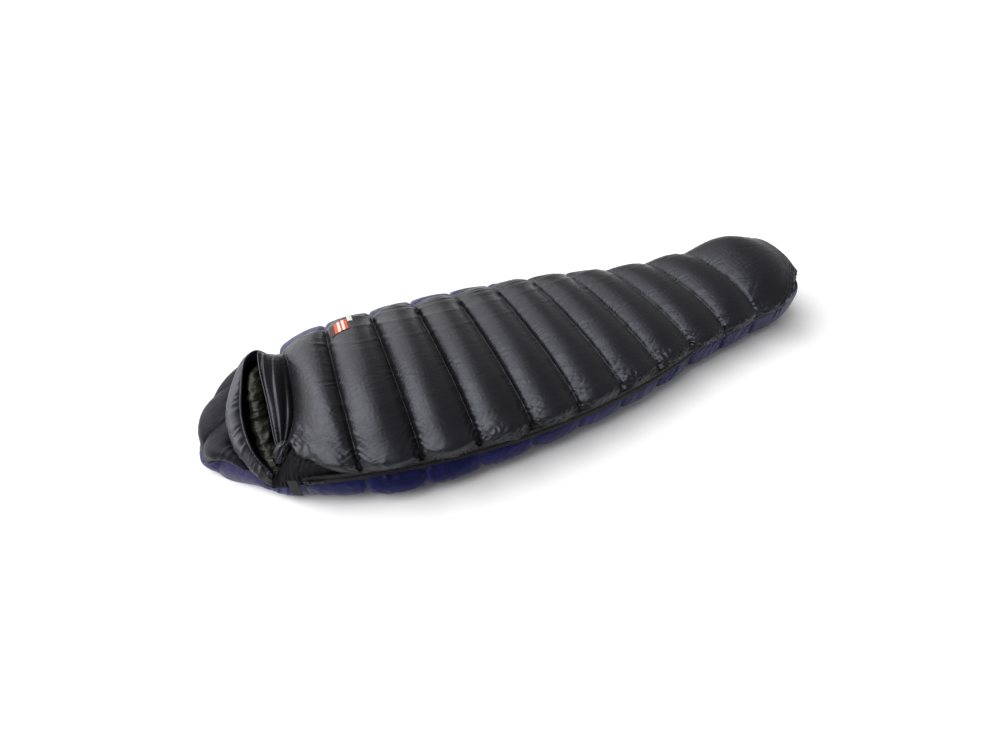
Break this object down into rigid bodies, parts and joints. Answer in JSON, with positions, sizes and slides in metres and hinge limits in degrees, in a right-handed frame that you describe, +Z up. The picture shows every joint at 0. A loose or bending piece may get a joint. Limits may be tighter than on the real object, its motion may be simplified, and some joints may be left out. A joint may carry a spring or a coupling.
{
  "type": "mummy sleeping bag",
  "caption": "Down-filled mummy sleeping bag lying flat: quilted tapered body, gathered hood, face opening and a side zip with a closing tab.",
  "frame": {"origin": "on the floor under the middle of the bag's outline", "axes": "+X from the hood to the foot, +Y to the sleeper's left (away from the zip), +Z up"},
  "size_m": [2.061, 0.7845, 0.2434],
  "materials": {
    "black_shell": "glossy downproof nylon",
    "rim_shell": "glossy downproof nylon",
    "navy_shell": "glossy downproof nylon",
    "lining": "satin nylon lining",
    "collar_fabric": "satin nylon lining",
    "black_webbing": "matt woven tape",
    "zip_nylon": "moulded nylon coil",
    "slider_metal": "black enamel",
    "tab_fabric": "matt woven nylon",
    "hook_and_loop": "hook and loop pile",
    "lock_plastic": "moulded acetal",
    "spring_steel": "bright wire",
    "orange_label": "woven label",
    "white_label": "woven label"
  },
  "bodies": {
    "bag": {"chin_chamber": "black_shell", "neck_side_chamber": "navy_shell", "top_chamber_01": "black_shell", "top_chamber_02": "black_shell", "top_chamber_03": "black_shell", "top_chamber_04": "black_shell", "top_chamber_05": "black_shell", "top_chamber_06": "black_shell", "top_chamber_07": "black_shell", "top_chamber_08": "black_shell", "top_chamber_09": "black_shell", "top_chamber_10": "black_shell", "top_chamber_11": "black_shell", "bottom_chamber_01": "navy_shell", "bottom_chamber_02": "navy_shell", "bottom_chamber_03": "navy_shell", "bottom_chamber_04": "navy_shell", "bottom_chamber_05": "navy_shell", "bottom_chamber_06": "navy_shell", "bottom_chamber_07": "navy_shell", "bottom_chamber_08": "navy_shell", "bottom_chamber_09": "navy_shell", "bottom_chamber_10": "navy_shell", "bottom_chamber_11": "navy_shell", "foot_end_panel": "navy_shell", "hood_base": "navy_shell", "hood_crown": "black_shell", "hood_rim_baffle": "rim_shell", "hood_lining": "lining", "top_lining": "lining", "bottom_lining": "lining", "neck_draft_collar": "collar_fabric", "draft_tube": "lining", "anti_snag_tape": "black_webbing", "zip_tape_top": "black_webbing", "zip_tape_bottom": "black_webbing", "zip_coil_top": "zip_nylon", "zip_coil_bottom": "zip_nylon", "zip_top_stop_top": "zip_nylon", "zip_top_stop_bottom": "zip_nylon", "zip_bottom_stop": "zip_nylon", "leg_side_seam": "black_webbing", "closing_tab_loop": "hook_and_loop", "hood_hem": "black_webbing", "hood_drawcord": "black_webbing", "hood_lock_body": "lock_plastic", "hood_lock_spring": "spring_steel", "collar_lock_body": "lock_plastic", "collar_lock_spring": "spring_steel", "woven_label": "orange_label", "label_tab": "white_label", "hang_loop_left": "black_webbing", "hang_loop_right": "black_webbing"},
    "zip_slider": {"zip_slider": "slider_metal"},
    "zip_pull_tab": {"zip_pull_tab": "slider_metal"},
    "closing_tab": {"closing_tab": "tab_fabric", "closing_tab_hook": "hook_and_loop"},
    "hood_lock_button": {"hood_lock_button": "lock_plastic"},
    "collar_lock_button": {"collar_lock_button": "lock_plastic"}
  },
  "joints": [
    {"name": "zip_run", "type": "hinge", "parent": "bag", "child": "zip_slider", "pos_m": [-0.19, 1.561, 0.1], "axis": [0, 0, 1], "range_deg": [0, 35.6]},
    {"name": "pull_tab_swing", "type": "hinge", "parent": "zip_slider", "child": "zip_pull_tab", "pos_m": [-0.75565, -0.31111, 0.1], "axis": [0, 0, -1], "range_deg": [0, 130]},
    {"name": "closing_tab_lift", "type": "hinge", "parent": "bag", "child": "closing_tab", "pos_m": [-0.79299, -0.30375, 0.121], "axis": [-0.891, 0.454, 0], "range_deg": [0, 110]},
    {"name": "hood_lock_press", "type": "slide", "parent": "bag", "child": "hood_lock_button", "axis": [0, 0, -1], "range_m": [0, 0.004], "stiffness_N_per_m": 500, "springref_m": -0.004, "deforming": ["hood_lock_spring"]},
    {"name": "collar_lock_press", "type": "slide", "parent": "bag", "child": "collar_lock_button", "axis": [0, 0, -1], "range_m": [0, 0.004], "stiffness_N_per_m": 500, "springref_m": -0.004, "deforming": ["collar_lock_spring"]}
  ]
}
